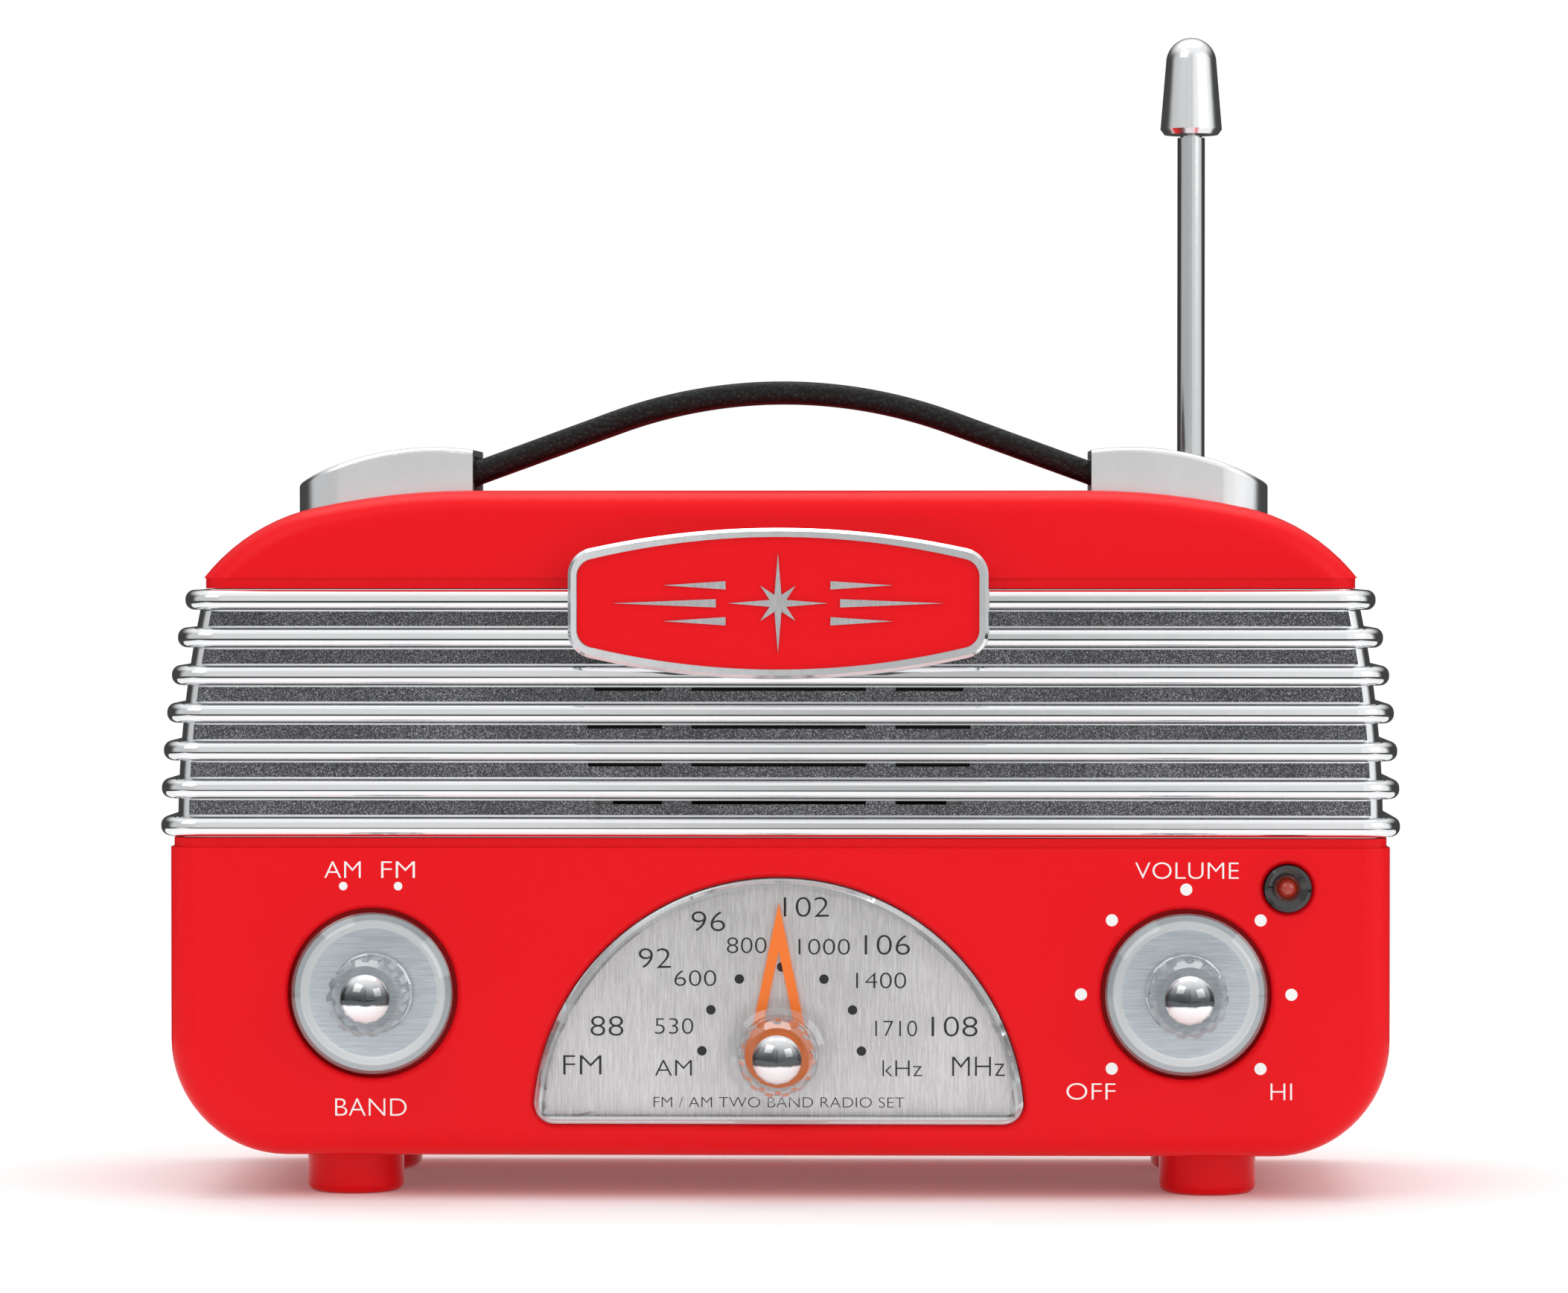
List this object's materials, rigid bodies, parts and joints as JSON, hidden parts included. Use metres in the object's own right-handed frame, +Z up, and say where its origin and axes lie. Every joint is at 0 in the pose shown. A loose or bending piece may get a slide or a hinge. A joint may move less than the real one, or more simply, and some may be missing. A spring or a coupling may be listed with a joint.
{
  "type": "portable radio",
  "caption": "Retro portable AM/FM radio: red shells with a ribbed chrome band, half-round tuning dial, clear knobs, carrying strap, feet and folding telescopic antenna.",
  "frame": {"origin": "on the surface it stands on, under the middle of its bounding box", "axes": "+X to the right seen from the front, +Y to the rear (the dial faces -Y), +Z up"},
  "size_m": [0.181, 0.0752, 0.173],
  "materials": {
    "red_plastic": "gloss",
    "chrome_plating": "polished",
    "silver_print": "satin",
    "clear_acrylic": "gloss",
    "brushed_aluminium": "brushed",
    "orange_plastic": "gloss",
    "black_leather": "grained",
    "black_plastic": "gloss",
    "red_lamp": "gloss",
    "steel": "plated",
    "black_cloth": "woven",
    "magnet_ceramic": "matt",
    "cone_paper": "matt",
    "board_laminate": "matt",
    "nylon": "matt",
    "component_black": "matt",
    "tin_can": "plated",
    "ferrite": "matt",
    "copper_wire": "enamelled",
    "cell_sleeve": "gloss"
  },
  "bodies": {
    "root": {"lower_case": "red_plastic", "grille_band": "chrome_plating", "top_cover": "red_plastic", "rear_cover": "red_plastic", "feet": "red_plastic", "foot_screws": "steel", "joining_screws": "steel", "rear_cover_screws": "steel", "badge_frame": "chrome_plating", "badge_plate": "red_plastic", "badge_ornament": "silver_print", "dial_plate": "brushed_aluminium", "dial_lens": "clear_acrylic", "tuning_capacitor": "nylon", "band_switch": "tin_can", "volume_control": "component_black", "led_bezel": "black_plastic", "led_lamp": "red_lamp", "handle_strap": "black_leather", "handle_mount_left": "chrome_plating", "handle_mount_right": "chrome_plating", "handle_screws": "steel", "antenna_bush": "nylon", "speaker_scrim": "black_cloth", "speaker_frame": "steel", "speaker_magnet": "magnet_ceramic", "speaker_cone": "cone_paper", "speaker_dust_cap": "cone_paper", "speaker_screws": "steel", "circuit_board": "board_laminate", "board_screws": "steel", "if_transformers": "tin_can", "electrolytic_capacitors": "component_black", "audio_chip": "component_black", "ferrite_rod": "ferrite", "ferrite_coil": "copper_wire", "ferrite_holders": "nylon", "battery_cells": "cell_sleeve", "battery_spring": "steel", "battery_plates": "steel"},
    "battery_door": {"battery_door": "red_plastic"},
    "tuning": {"tuning_knob": "clear_acrylic", "tuning_knob_cap": "chrome_plating", "tuning_shaft": "steel", "pointer": "orange_plastic"},
    "band": {"band_knob": "clear_acrylic", "band_knob_disc": "brushed_aluminium", "band_knob_cap": "chrome_plating", "band_shaft": "steel"},
    "volume": {"volume_knob": "clear_acrylic", "volume_knob_disc": "brushed_aluminium", "volume_knob_cap": "chrome_plating", "volume_shaft": "steel"},
    "antenna_base": {"antenna_swivel": "chrome_plating", "antenna_elbow_pin": "steel"},
    "antenna_rod": {"antenna_section_1": "chrome_plating"},
    "antenna_rod_2": {"antenna_section_2": "chrome_plating"},
    "antenna_rod_3": {"antenna_section_3": "chrome_plating"},
    "antenna_rod_4": {"antenna_section_4": "chrome_plating", "antenna_tip": "chrome_plating"}
  },
  "joints": [
    {"name": "band_turn", "type": "hinge", "parent": "root", "child": "band", "pos_m": [-0.0592, -0.0244, 0.0302], "axis": [0, 1, 0], "range_deg": [-30, 0]},
    {"name": "tuning_turn", "type": "hinge", "parent": "root", "child": "tuning", "pos_m": [0, -0.0244, 0.0214], "axis": [0, 1, 0], "range_deg": [-85, 85]},
    {"name": "volume_turn", "type": "hinge", "parent": "root", "child": "volume", "pos_m": [0.0592, -0.0244, 0.0302], "axis": [0, 1, 0], "range_deg": [0, 270]},
    {"name": "door_swing", "type": "hinge", "parent": "root", "child": "battery_door", "pos_m": [0, 0.03655, 0.01205], "axis": [-1, 0, 0], "range_deg": [0, 90]},
    {"name": "antenna_turn", "type": "hinge", "parent": "root", "child": "antenna_base", "pos_m": [0.062, 0.0236, 0.1049], "axis": [0, 0, 1], "range_deg": [-180, 0]},
    {"name": "antenna_tilt", "type": "hinge", "parent": "antenna_base", "child": "antenna_rod", "pos_m": [0.062, 0.0236, 0.1049], "axis": [0, 1, 0], "range_deg": [-90, 0]},
    {"name": "antenna_slide_2", "type": "slide", "parent": "antenna_rod", "child": "antenna_rod_2", "axis": [0, 0, 1], "range_m": [0, 0.042]},
    {"name": "antenna_slide_3", "type": "slide", "parent": "antenna_rod_2", "child": "antenna_rod_3", "axis": [0, 0, 1], "range_m": [0, 0.042]},
    {"name": "antenna_slide_4", "type": "slide", "parent": "antenna_rod_3", "child": "antenna_rod_4", "axis": [0, 0, 1], "range_m": [0, 0.042]}
  ]
}
